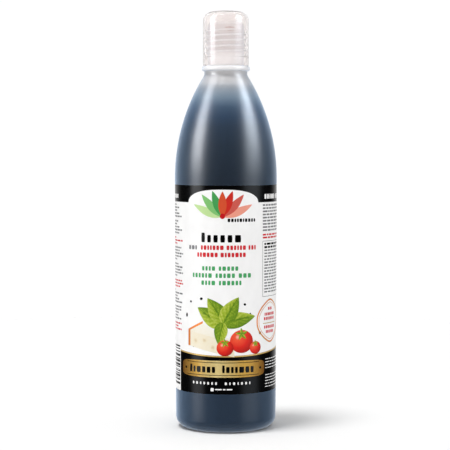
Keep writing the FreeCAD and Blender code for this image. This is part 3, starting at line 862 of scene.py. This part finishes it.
class Print:
    """Collects flat patches in millimetres, s to the right of the front and z up from the foot, each with a
    layer and a shade, and wraps them round the film as one thin piece for each ink."""

    def __init__(self, bottle, label):
        self.bottle, self.label, self.patches = bottle, label, {}
        self.draw = np.random.default_rng(SEED)

    def add(self, ink, layer, s, z, shade):
        """Takes in one patch: its places s and z and its shades, arrays that spread over one another."""
        s, z, shade = np.broadcast_arrays(s, z, shade)
        self.patches.setdefault(ink, []).append((layer, s - self.label.axis / MM, z, shade))

    def field(self, ink, layer, left, right, low, high):
        """A field between two heights, which may be functions of s."""
        s = np.linspace(left, right, max(2, math.ceil((right - left) * MM / COLUMN)))
        low = low(s) if callable(low) else low
        high = high(s) if callable(high) else high
        v = np.array([[0.0], [1.0]])
        self.add(ink, layer, s[None, :], low + (high - low) * v, v)

    def block(self, ink, layer, s, z, width, tall, ends):
        """A bar with rounded ends: half its height is tall / 2 * (1 - |u|^n + blunt)^(1/n) of the place u
        along it, where n = 2 / ends, and blunt keeps the ends from closing to a point."""
        power, blunt = 2 / ends, 1e-9
        columns = max(7, math.ceil(width * MM / COLUMN) + 1)
        u = np.sin(np.linspace(-math.pi / 2, math.pi / 2, columns))[None, :]
        v = np.linspace(-1, 1, 3)[:, None]
        half = tall / 2 * (1 - np.abs(u) ** power + blunt) ** (1 / power)
        self.add(ink, layer, s + u * width / 2, z + v * half, (u + 1) / 2)

    def words(self, ink, layer, left, right, low, high, space=0.0, first=0.0):
        """A line of word-like bars: plain blocks of uneven width, with wider gaps now and then; the first may
        stand higher than the rest."""
        tall, at, count = high - low, left, 0
        narrowest, widest, between = 0.42, 0.86, 0.22
        gap = tall * (between + space)
        until = self.draw.integers(4, 8)
        while at < right - 0.4 * tall:
            width = min(tall * self.draw.uniform(narrowest, widest), right - at)
            rise = tall + (first if count == 0 else 0.0)
            self.block(ink, layer, at + width / 2, low + rise / 2, width, rise, 0.22)
            count += 1
            at += width + gap
            if count >= until and right - at > 2.6 * tall:
                at += 2.2 * gap
                count, until = 1, self.draw.integers(4, 8)

    def lines(self, ink, layer, left, right, top, bottom, pitch, tall, ragged):
        """Lines of small print, one every pitch, each a few bars long with a ragged right edge."""
        shortest, longest, gap = 1.6, 4.6, 0.55
        for z in np.arange(top, bottom, -pitch):
            at, end = left, right - (right - left) * ragged * self.draw.uniform(0, 1) ** 2
            while at < end - 0.5:
                width = min(self.draw.uniform(shortest, longest), end - at)
                self.block(ink, layer, at + width / 2, z - tall / 2, width, tall, 0.2)
                at += width + gap

    def disc(self, ink, layer, s, z, width, tall, shade=None, turn=0.0, count=15):
        """A round patch: the square (u, v) drawn in to the circle (u sqrt(1 - v^2/2), v sqrt(1 - u^2/2)). Its
        shade grows from the middle to the rim unless given as a function of x and y."""
        u, v = np.meshgrid(np.linspace(-1, 1, count), np.linspace(-1, 1, count))
        x, y = u * np.sqrt(1 - v**2 / 2), v * np.sqrt(1 - u**2 / 2)
        tone = shade(x, y) if shade else np.hypot(x, y)
        x, y = x * width / 2, y * tall / 2
        c, n = math.cos(turn), math.sin(turn)
        self.add(ink, layer, s + x * c - y * n, z + x * n + y * c, tone)

    def ring(self, ink, layer, s, z, width, tall, thick, point):
        """A band about an oval whose ends may be drawn out: half the width at the angle a is
        cos a * (1 - point * |sin a|^3). Its own ends stop a hair apart, so that they share no edge."""
        count, hair = 72, 0.001
        a = np.linspace(0, TURN - hair, count)[None, :]
        v = np.array([[0.0], [1.0]])
        grow = 1 - v * 2 * thick / width
        draw_in = 1 - point * np.abs(np.sin(a)) ** 3
        x = width / 2 * np.cos(a) * draw_in * grow
        y = tall / 2 * np.sin(a) * (1 - v * 2 * thick / tall)
        self.add(ink, layer, s + x, z + y, (np.cos(a) * np.sin(a) + 1) / 2)

    def leaf(self, ink, layer, s, z, turn, reach, width, bend, shade=None, fullness=0.75):
        """A leaf from its stalk at (s, z): half its width is width / 2 * sin(pi u^fullness)^0.85 of the place
        u along the midrib, which bends sideways by bend * reach * u^2. Its shade is the place across it, with
        a ripple for the veins."""
        u, v = np.meshgrid(np.linspace(0, 1, 25), np.linspace(-1, 1, 13))
        half = BLUNT + width / 2 * np.sin(math.pi * u**fullness) ** 0.85
        x, y = reach * u, v * half + bend * reach * u**2
        veins = 0.10 * np.sin(34 * (u - 0.35 * np.abs(v)))
        rib = -0.30 * np.exp(-((v / 0.10) ** 2))
        tone = np.clip(0.50 + 0.24 * v + veins + rib, 0, 1) if shade is None else shade
        c, n = math.cos(turn), math.sin(turn)
        self.add(ink, layer, s + x * c - y * n, z + x * n + y * c, tone)

    def wrap(self, name, ink, material):
        """Makes one piece of an ink's patches: angle = front + s / radius, radius = film + layer * ink."""
        label, points, faces, shades, first = self.label, [], [], [], 0
        for layer, s, z, shade in self.patches[ink]:
            z = np.clip(z * MM, LABEL_LOW.z, LABEL_HIGH.z)
            r = wall_radius(self.bottle, z) + label.glue + label.film + layer * label.ink
            angle = FRONT + s * MM / r
            points.append(np.stack([r * np.cos(angle), r * np.sin(angle), z], axis=-1).reshape(-1, 3))
            shades.append(shade.ravel())
            quads = grid_faces(*s.shape, first=first)
            flat = np.stack([s.ravel(), z.ravel() / MM], axis=-1)[quads - first]
            cross = np.diff(flat, axis=1)
            area = (cross[:, 0, 0] * cross[:, 1, 1] - cross[:, 0, 1] * cross[:, 1, 0]).sum()
            faces.append(quads if area > 0 else quads[:, ::-1])
            first += s.size
        points, faces = np.vstack(points), np.vstack(faces).tolist()
        piece = add_piece(name, points, faces, material, smooth=False)
        tone = piece.data.attributes.new("shade", "FLOAT", "POINT")
        tone.data.foreach_set("value", np.concatenate(shades).astype(np.float32))
        thick = piece.modifiers.new("thickness", "SOLIDIFY")
        thick.thickness = 0.7 * label.ink  # less than a step, so that layers don't touch
        thick.offset = -1


def shaded_ink(name, stops, roughness, mottle=0.0, **more):
    """An ink whose colour follows the patch's own shade, a little uneven, with a soft gloss."""
    material, tree, shader = new_material(name, Specular_IOR_Level=0.10, **more)
    tone = node(tree, "ShaderNodeAttribute", attribute_name="shade").outputs["Fac"]
    grain = noise(tree, object_place(tree), 900.0)
    grain = ranged(tree, grain, 0.25, 0.75, -mottle, mottle)
    tone = math_of(tree, "ADD", tone, grain)
    join(tree, ramp(tree, tone, stops), shader, "Base Color")
    slack = noise(tree, object_place(tree, (1, 1, 0.5)), 45.0)
    uneven_gloss(tree, shader, slack, roughness - 0.04, roughness + 0.05)
    return material


def print_fields(sheet, label):
    """The dark band with a plain white arch let into it, the dark field at the foot under its gilt line, the
    white panel of the stripes. Gives the height of the band's lower edge."""
    low, high = LABEL_LOW.z / MM, LABEL_HIGH.z / MM
    around = math.pi * LABEL_HIGH.x / MM
    edge, reach, crown = high - label.band / MM, 22.5, 7.6

    def arch(s):
        return edge + crown * np.sqrt(np.clip(1 - np.abs(s / reach) ** 2.6, 0, 1))

    def curve(s):
        return low + label.foot / MM - 0.3 + 3.4 * (1 - np.cos((s - 2.5) * MM / LABEL_HIGH.x))

    sheet.field("black", 1, -around, around, arch, high)
    sheet.field("black", 1, -around, around, low, curve)
    sheet.field("gold", 2, -around, around, lambda s: curve(s) - 0.15, lambda s: curve(s) + 0.75)
    sheet.field("white", 3, -58, -31.0, low, 53.5)
    return edge


def print_emblem(sheet):
    """A palmette of seven slender leaves, from pale green through red, on a small round boss."""
    turns = np.radians(np.linspace(168, 12, 7))
    for k, turn in enumerate(turns):
        reach = 14.6 + 4.6 * abs(math.cos(turn)) ** 1.5
        bend = 0.16 * math.cos(turn)
        layer = 4.6 - 0.7 * abs(k - 3) + 0.2 * (k > 3)
        sheet.leaf("emblem", layer, 0.0, 127.8, turn, reach, 4.8, bend, 0.04 + k * 0.155, 0.9)
    sheet.disc("emblem", 5.5, 0.0, 128.0, 3.2, 3.2, lambda x, y: 0.75)


def print_front(sheet):
    """The lines of word-like bars in the middle of the front."""
    for ink, *place in FRONT_LINES:
        sheet.words(ink, 1, *place)


def print_cheese(sheet):
    """A wedge of pale cheese: its cut side, with holes shaded as bells exp(-distance^2), the lighter top that
    runs to a point, and the rind."""
    u, v = np.meshgrid(np.linspace(0, 1, 33), np.linspace(0, 1, 13))
    tip, back, deep, rind = (7.0, 54.5), (-21.0, 60.5), 9.0, 1.7
    s, ridge = back[0] + (tip[0] - back[0]) * u, back[1] + (tip[1] - back[1]) * u
    holes = sum(np.exp(-(((u - a) / 0.045) ** 2 + ((v - b) / size) ** 2)) for a, b, size in HOLES)
    sheet.add("cheese", 4, s, ridge - deep * (1 - v), np.clip(0.62 - 0.14 * u - 0.45 * holes, 0, 1))
    narrow = 1 - 0.99 * u
    sheet.add("cheese", 4, s + 9.0 * narrow * v, ridge + BLUNT + 4.6 * narrow * v, 0.80 + 0.2 * v)
    sheet.add("copper", 5, back[0] - rind + rind * v, back[1] - deep * (1 - u), 0.2)
    sheet.add("copper", 6, back[0] - rind + 10.7 * u, back[1] - 0.6 + 5.2 * u + 1.3 * v, 0.3)


def print_food(sheet):
    """A sprig of leaves, the cheese, round red fruit with their sepals, and drops of glaze about them."""
    for k, (turn, reach, width, bend) in enumerate(LEAVES):
        sheet.leaf("leaves", 4.6 + 0.3 * k, -1.0 + 0.02 * turn, 64.5, math.radians(turn), reach, width, bend)
    sheet.leaf("leaves", 6, 0.5, 66.0, math.radians(252), 13.5, 8.0, 0.1)
    print_cheese(sheet)

    def lit(x, y):
        return np.hypot(x + 0.35, y - 0.38) / 1.5

    for s, z, size, layer in FRUIT:
        sheet.disc("fruit", layer, s, z, size, size * 0.94, lit, count=21)
        for k in range(5):
            turn, stalk = math.radians(20 + 72 * k), z + size * 0.30
            sheet.leaf("leaves", layer + 1 + 0.2 * k, s, stalk, turn, size * 0.26, size * 0.11, 0.1)
    for k, (s, z) in enumerate(DROPS):
        sheet.disc("black", 1, s, z, 1.5 + 0.5 * (k % 3), 1.3 + 0.3 * (k % 2), turn=0.3 * k, count=7)


def print_plaque(sheet):
    """The gilt plaque: rounded ends, a dark line inside each long edge, a dot at each end and two words of
    dark bars. Under it stand white bars and a small square with a line of its own."""
    middle, wide, z, tall = -0.3, 55.6, 38.45, 9.9
    sheet.block("gold", 2, middle, z, wide, tall, 0.34)
    for side in (-1, 1):
        sheet.block("black", 3, middle, z + side * (tall / 2 - 1.25), wide - 9.0, 0.38, 0.1)
        sheet.disc("black", 3, middle + side * (wide / 2 - 3.4), z, 1.5, 1.5, count=7)
    sheet.words("black", 3, -21.3, -3.0, 36.2, 39.8, 0.0, 0.9)
    sheet.words("black", 3, -0.2, 20.6, 36.2, 39.8, 0.0, 0.9)
    sheet.words("white", 3, -19.0, 17.4, 29.2, 30.7, 0.75)
    sheet.block("white", 3, -6.1, 26.3, 1.9, 1.9, 0.15)
    sheet.lines("white", 3, -4.4, 6.2, 26.8, 26.0, 2.0, 0.7, 0.0)


def print_left(sheet, edge):
    """The left side: white bars in the top band, small print, and stripes that stand for nothing."""
    blocks = (("grey", 8.5), ("grey", 8.5), ("red", 4.6))
    top = edge - 1.2
    while top > 62:
        for ink, depth in blocks:
            sheet.lines(ink, 1, -62.0, -27.6, top, top - depth, 1.75, 0.95, 0.45)
            top -= depth + 1.3
    z = 27.0
    while z < 50.5:
        tall = sheet.draw.choice([0.35, 0.7, 1.05, 1.4])
        sheet.block("black", 4, -42.2, z + tall / 2, 21.0, tall, 0.05)
        z += tall + sheet.draw.choice([0.35, 0.7, 1.05])
    sheet.words("white", 2, -62, -33.5, edge + 2.2, edge + 4.6)


def print_right(sheet, edge):
    """The right side: white bars in the top band, small print, a thin box of lines, the pointed badge and
    pale lines at the foot."""
    left, right, foot, head = 26.1, 60.0, 80.2, 112.9
    sheet.words("white", 2, left + 1.5, 52.0, edge + 2.0, edge + 4.8)
    sheet.lines("grey", 1, left, right, edge - 1.2, 118.4, 1.85, 1.0, 0.15)
    sheet.lines("red", 1, left, right, 117.2, 114.4, 1.7, 1.05, 0.3)
    for z in (head, foot):
        sheet.block("grey", 1, (left + right) / 2, z, right - left, 0.3, 0.05)
    for s in (left, right):
        sheet.field("grey", 1, s - 0.15, s + 0.15, foot, head)
    sheet.lines("black", 1, left + 1.4, right - 6, 111.8, 108.6, 1.9, 1.25, 0.3)
    sheet.lines("grey", 1, left + 1.4, right - 1.4, 107.8, 82.0, 1.75, 0.85, 0.25)
    middle, z, wide, tall = 33.5, 65.6, 24.5, 26.0
    sheet.ring("copper", 2, middle, z, wide, tall, 0.95, 0.38)
    sheet.ring("copper", 2, middle, z, wide - 3.4, tall - 3.8, 0.35, 0.38)
    for up, half in ((7.2, 2.2), (4.0, 5.6), (1.4, 6.2), (-3.6, 6.0), (-6.4, 4.4)):
        sheet.words("red", 2, middle - half, middle + half, z + up - 0.9, z + up + 0.9)
    sheet.field("gold", 2, middle - 7.0, middle + 7.0, z - 1.55, z - 1.1)
    sheet.lines("white", 2, 28.5, 62.0, 43.2, 36.5, 1.75, 0.42, 0.25)
    sheet.lines("white", 2, 28.5, 62.0, 33.8, 26.0, 1.75, 0.42, 0.4)


def print_back(sheet, edge):
    """The back on both sides of the lap: columns of small print, a plain table and a small palmette."""
    near, far = 66.0, 88.0

    def column(left, right, top, bottom):
        sheet.lines("grey", 1, left, right, top, bottom, 1.9, 1.0, 0.35)

    column(near, far, edge - 3.0, 96.0)
    sheet.words("black", 1, near, 84.0, 91.5, 94.0)
    for z in np.arange(89.5, 57.0, -4.0):
        sheet.field("grey", 1, near, far, z, z + 0.25)
        sheet.lines("grey", 1, 66.6, 80.0, z - 1.1, z - 2.0, 2.0, 1.1, 0.4)
        sheet.lines("black", 1, 83.0, 87.6, z - 1.1, z - 2.0, 2.0, 1.1, 0.1)
    column(-far, -near, edge - 3.0, 112.0)
    sheet.words("green", 1, -far, -68.0, 105.5, 108.0)
    column(-far, -near, 103.0, 84.0)
    sheet.words("red", 1, -far, -70.0, 77.5, 80.0)
    column(-far, -near, 75.0, 58.0)
    for k in range(7):
        turn, shade = math.radians(168 - 26 * k), 0.04 + 0.155 * k
        sheet.leaf("emblem", 2 + 0.5 * k, 77.0, 33.0, turn, 8.0, 2.6, 0.1, shade, 0.9)
    sheet.lines("white", 2, -far, -near, 42.0, 28.0, 1.9, 0.9, 0.4)


def make_label(bottle, label, colours):
    """The film and its print, one thin piece for each ink."""
    make_film(bottle, label, colours)
    sheet = Print(bottle, label)
    edge = print_fields(sheet, label)
    print_emblem(sheet)
    print_front(sheet)
    print_food(sheet)
    print_plaque(sheet)
    print_left(sheet, edge)
    print_right(sheet, edge)
    print_back(sheet, edge)
    gold, copper = np.array(colours.gold), np.array(colours.copper)
    inks = {
        "black": film_material("ink_black", colours.black, 0.19, 0.2, 0.24),
        "grey": film_material("ink_grey", colours.grey, 0.38, 0.15),
        "red": film_material("ink_red", colours.red, 0.36, 0.08),
        "green": film_material("ink_green", colours.green, 0.36, 0.10),
        "white": film_material("ink_white", colours.film, 0.36, 0.02),
        # The gold's ramp paints a shine on the foil: bright a little left of the middle, dark at the plaque's
        # ends and the gilt lines' edges.
        "gold": shaded_ink(
            "gold_foil_painted_shine",
            [
                (0.0, gold * (0.30, 0.22, 0.16)),
                (0.22, gold * 0.75),
                (0.45, (0.93, 0.74, 0.32)),
                (0.72, gold),
                (1.0, gold * (0.34, 0.24, 0.18)),
            ],
            0.34,
            0.02,
            Metallic=0.35,
        ),
        "copper": shaded_ink(
            "ink_copper", [(0.0, copper * 0.8), (0.5, copper), (1.0, gold)], 0.34, 0.03, Metallic=0.25
        ),
        "emblem": shaded_ink("ink_emblem", EMBLEM_STOPS, 0.35),
        "leaves": shaded_ink("ink_leaves", LEAF_STOPS, 0.36, 0.10),
        "cheese": shaded_ink("ink_cheese", CHEESE_STOPS, 0.38, 0.06),
        "fruit": shaded_ink("ink_fruit", FRUIT_STOPS, 0.35, 0.02),
    }
    for ink, material in inks.items():
        sheet.wrap("print_" + ink, ink, material)


# Stage ----------------

# The two tall cards: from, to and distance in metres, then for each its name, azimuth in degrees, width,
# lean, tint and light, which is (height, strength) upwards.
CARD_LOW, CARD_HIGH, CARD_DISTANCE = -0.30, 2.6, 1.1
LEFT_LIGHT = (
    (-0.30, 1.7),
    (0.0, 2.2),
    (0.10, 3.3),
    (0.20, 6.0),
    (0.45, 17.5),
    (1.0, 19.0),
    (1.6, 6.0),
    (2.6, 2.5),
)
RIGHT_LIGHT = (
    (-0.30, 1.1),
    (0.0, 1.2),
    (0.12, 1.6),
    (0.20, 2.5),
    (0.45, 8.5),
    (0.8, 18.0),
    (1.2, 21.0),
    (1.7, 9.0),
    (2.6, 3.5),
)
CARDS = (
    ("softbox_left", -67.5, 0.84, -0.14, (0.95, 0.965, 1.0), LEFT_LIGHT),
    ("softbox_right", 59.5, 1.12, 0.40, (0.86, 0.93, 1.0), RIGHT_LIGHT),
)


class GlazeStageSettings(bpy.types.PropertyGroup):
    """Camera, floor and lights of the studio."""

    distance: length("Distance", 0.929, "From the camera to the bottle's axis, along the floor")
    eye_height: length("Eye height", 0.170, "Height of the camera over the floor")
    aside: amount("Aside", -0.0005, "How far the camera stands to the right", precision=5, unit="LENGTH")
    dip: angle_of("Dip", 3.0, "How far the camera looks down")
    lens: amount("Lens", 123.84, "Focal length in millimetres", unit="CAMERA")
    floor_radius: length("Floor", 0.60, "Radius of the floor")
    ambient: amount("Ambient", 0.93, "Brightness all round, less from above")
    backdrop: amount("Backdrop", 1.02, "Brightness of the bare room")
    through: amount("Through plastic", 1.13, "Brightness of the room through clear plastic")
    gloss: amount("Gloss", 0.06, "Brightness of the room in reflections")
    key_height: angle_of("Key height", 75.0, "Angle of the key light over the floor")
    key_side: angle_of("Key side", 57.0, "How far the key stands to the left")
    key_softness: angle_of("Key softness", 14.5, "Width of the key light in the sky")
    key: amount("Key", 1.85, "Strength of the light that throws the shadow")


def softbox(name, azimuth, width, lean, tint, levels):
    """A tall card that faces the axis from an azimuth in degrees (0 is the camera's side, growing to the
    right), moving round by lean for each unit of height. Its light follows levels (height, strength) upwards
    and softens towards its side edges."""
    a, low, high = math.radians(azimuth), CARD_LOW, CARD_HIGH
    middle = np.array([math.sin(a), -math.cos(a)]) * CARD_DISTANCE
    side = np.array([math.cos(a), math.sin(a)])
    u, v = np.meshgrid(np.linspace(-1, 1, 9), np.linspace(low, high, 17))
    round_by = u * width / 2 + lean * v
    x = middle[0] + side[0] * round_by
    y = middle[1] + side[1] * round_by
    points = np.stack([x, y, v], axis=-1).reshape(-1, 3)
    mesh = bpy.data.meshes.new(name)
    mesh.from_pydata(points.tolist(), [], grid_faces(*u.shape)[:, ::-1].tolist())
    strongest = max(strength for _, strength in levels)
    material = bpy.data.materials.new(name)
    tree = empty_tree(material)
    place = node(tree, "ShaderNodeTexCoord").outputs["Object"]
    parts = node(tree, "ShaderNodeSeparateXYZ", {"Vector": place}).outputs
    up = place_between(tree, parts["Z"], low, high)
    stops = [((at - low) / (high - low), (strength / strongest,) * 3) for at, strength in levels]
    across = node(tree, "ShaderNodeVectorMath", {0: place, 1: (*side, -lean)}, operation="DOT_PRODUCT")
    off = math_of(tree, "ABSOLUTE", across.outputs["Value"])
    edge = ranged(tree, off, width * 0.15, width * 0.5, strongest, 0.0)
    level = math_of(tree, "MULTIPLY", ramp(tree, up, stops), edge)
    glow = node(tree, "ShaderNodeEmission", {"Color": (*tint, 1.0), "Strength": level}).outputs[0]
    node(tree, "ShaderNodeOutputMaterial", {"Surface": glow})
    mesh.materials.append(material)
    card = placed(name, mesh)
    card.visible_camera = False
    card.visible_transmission = False
    card.visible_diffuse = False
    card.visible_shadow = False


def make_room(stage):
    """A white room: full brightness to the eye and through clear plastic, softer on matt surfaces, and in
    reflections dark in front of the bottle and pale behind it."""
    world = bpy.data.worlds.new("studio")
    bpy.context.scene.world = world
    tree = empty_tree(world)
    path = node(tree, "ShaderNodeLightPath").outputs
    way = node(tree, "ShaderNodeTexCoord").outputs["Generated"]
    parts = node(tree, "ShaderNodeSeparateXYZ", {"Vector": way}).outputs
    behind = ranged(tree, parts["Y"], 0.50, 1.0, stage.gloss * 0.35, 0.9)
    above = ranged(tree, parts["Z"], 0.35, 0.95, 0.0, 0.35)
    below = ranged(tree, parts["Z"], -0.95, -0.15, 0.5, 0.0)
    glossy = math_of(tree, "ADD", behind, math_of(tree, "ADD", above, below))
    matt = ranged(tree, parts["Z"], 0.1, 0.9, stage.ambient, stage.ambient * 0.68)
    within = math_of(tree, "MINIMUM", path["Transmission Depth"], 1.0)
    level = matt
    turns = (
        (path["Is Glossy Ray"], glossy),
        (within, stage.through),
        (path["Is Camera Ray"], stage.backdrop),
    )
    for factor, other in turns:
        level = node(tree, "ShaderNodeMix", {"Factor": factor, "A": level, "B": other}).outputs[0]
    light = node(tree, "ShaderNodeBackground", {"Color": (1.0, 1.0, 1.0, 1.0), "Strength": level}).outputs[0]
    node(tree, "ShaderNodeOutputWorld", {"Surface": light})


def make_floor(stage):
    """A round pale floor, r cos a and r sin a with r growing towards the edge."""
    r = np.concatenate([[0.0], np.geomspace(0.02, stage.floor_radius, 24)])
    points, faces = revolved(np.column_stack([r, 0 * r])[::-1], even_angles(64))
    mesh = bpy.data.meshes.new("floor")
    mesh.from_pydata(points.tolist(), [], faces)
    material, tree, shader = new_material("floor", Roughness=0.9, Specular_IOR_Level=0.1)
    pale, faint = (0.80, 0.80, 0.80), 0.004
    mottled(tree, shader, pale, object_place(tree), 12.0, faint)
    mesh.materials.append(material)
    floor = placed("floor", mesh)
    floor.visible_glossy = False


def make_key(stage):
    """The lamp that throws the soft shadow to the right of the foot."""
    lamp = bpy.data.lights.new("key", "SUN")
    lamp.energy = stage.key
    lamp.angle = stage.key_softness
    key = placed("key", lamp)
    key.rotation_euler = (math.pi / 2 - stage.key_height, 0, -stage.key_side)
    key.visible_glossy = False


def make_camera(stage):
    """The camera, level from side to side and looking slightly down."""
    data = bpy.data.cameras.new("camera")
    data.lens = stage.lens
    data.sensor_width = 36.0
    camera = placed("camera", data)
    camera.location = (stage.aside, -stage.distance, stage.eye_height)
    camera.rotation_euler = (math.pi / 2 - stage.dip, 0, 0)
    bpy.context.scene.camera = camera


# Operators ----------------


class GLAZE_OT_stage(bpy.types.Operator):
    """Set up the floor, the room, the lights and the camera"""

    bl_idname = "glaze.stage"
    bl_label = "Stage"

    def execute(self, context):
        stage = context.scene.glaze_stage
        context.scene.view_settings.view_transform = "Standard"
        make_room(stage)
        make_floor(stage)
        make_key(stage)
        make_camera(stage)
        for card in CARDS:
            softbox(*card)
        return {"FINISHED"}


class GLAZE_OT_shell(bpy.types.Operator):
    """Build the blown shell of milky plastic"""

    bl_idname = "glaze.shell"
    bl_label = "Shell"

    def execute(self, context):
        make_shell(context.scene.glaze_bottle, context.scene.glaze_colours)
        return {"FINISHED"}


class GLAZE_OT_contents(bpy.types.Operator):
    """Fill the shell with glaze up to its level"""

    bl_idname = "glaze.contents"
    bl_label = "Glaze"

    def execute(self, context):
        make_glaze(context.scene.glaze_bottle, context.scene.glaze_colours)
        make_residue(context.scene.glaze_bottle)
        return {"FINISHED"}


class GLAZE_OT_closure(bpy.types.Operator):
    """Build the dripper insert and the clear screw cap"""

    bl_idname = "glaze.closure"
    bl_label = "Insert and cap"

    def execute(self, context):
        scene = context.scene
        make_insert(scene.glaze_cap, scene.glaze_colours)
        make_cap(scene.glaze_bottle, scene.glaze_cap, scene.glaze_colours)
        return {"FINISHED"}


class GLAZE_OT_label(bpy.types.Operator):
    """Wrap the printed film round the wall"""

    bl_idname = "glaze.label"
    bl_label = "Label"

    def execute(self, context):
        make_label(context.scene.glaze_bottle, context.scene.glaze_label, context.scene.glaze_colours)
        return {"FINISHED"}


OPERATORS = (GLAZE_OT_stage, GLAZE_OT_shell, GLAZE_OT_contents, GLAZE_OT_closure, GLAZE_OT_label)


class GLAZE_PT_panel(bpy.types.Panel):
    """Sizes, colours and the buttons that build the bottle"""

    bl_idname = "GLAZE_PT_panel"
    bl_label = "Glaze Bottle"
    bl_space_type = "VIEW_3D"
    bl_region_type = "UI"
    bl_category = "Glaze Bottle"

    def draw(self, context):
        for operator in OPERATORS:
            self.layout.operator(operator.bl_idname)
        for attribute, kind in GROUPS.items():
            box = self.layout.box()
            box.label(text=kind.__doc__)
            for key in kind.__annotations__:
                box.prop(getattr(context.scene, attribute), key)


GROUPS = {
    "glaze_bottle": GlazeBottleSizes,
    "glaze_cap": GlazeCapSizes,
    "glaze_label": GlazeLabelSizes,
    "glaze_colours": GlazeColours,
    "glaze_stage": GlazeStageSettings,
}


def register():
    """Makes the settings, buttons and panel known."""
    for kind in (*GROUPS.values(), *OPERATORS, GLAZE_PT_panel):
        bpy.utils.register_class(kind)
    for attribute, kind in GROUPS.items():
        setattr(bpy.types.Scene, attribute, bpy.props.PointerProperty(type=kind))


def unregister():
    """Takes them away again."""
    for attribute in GROUPS:
        delattr(bpy.types.Scene, attribute)
    for kind in reversed((*GROUPS.values(), *OPERATORS, GLAZE_PT_panel)):
        bpy.utils.unregister_class(kind)


def main():
    """Builds the stage and every piece."""
    register()
    bpy.ops.glaze.stage()
    bpy.ops.glaze.shell()
    bpy.ops.glaze.contents()
    bpy.ops.glaze.closure()
    bpy.ops.glaze.label()


if __name__ == "__main__":
    main()
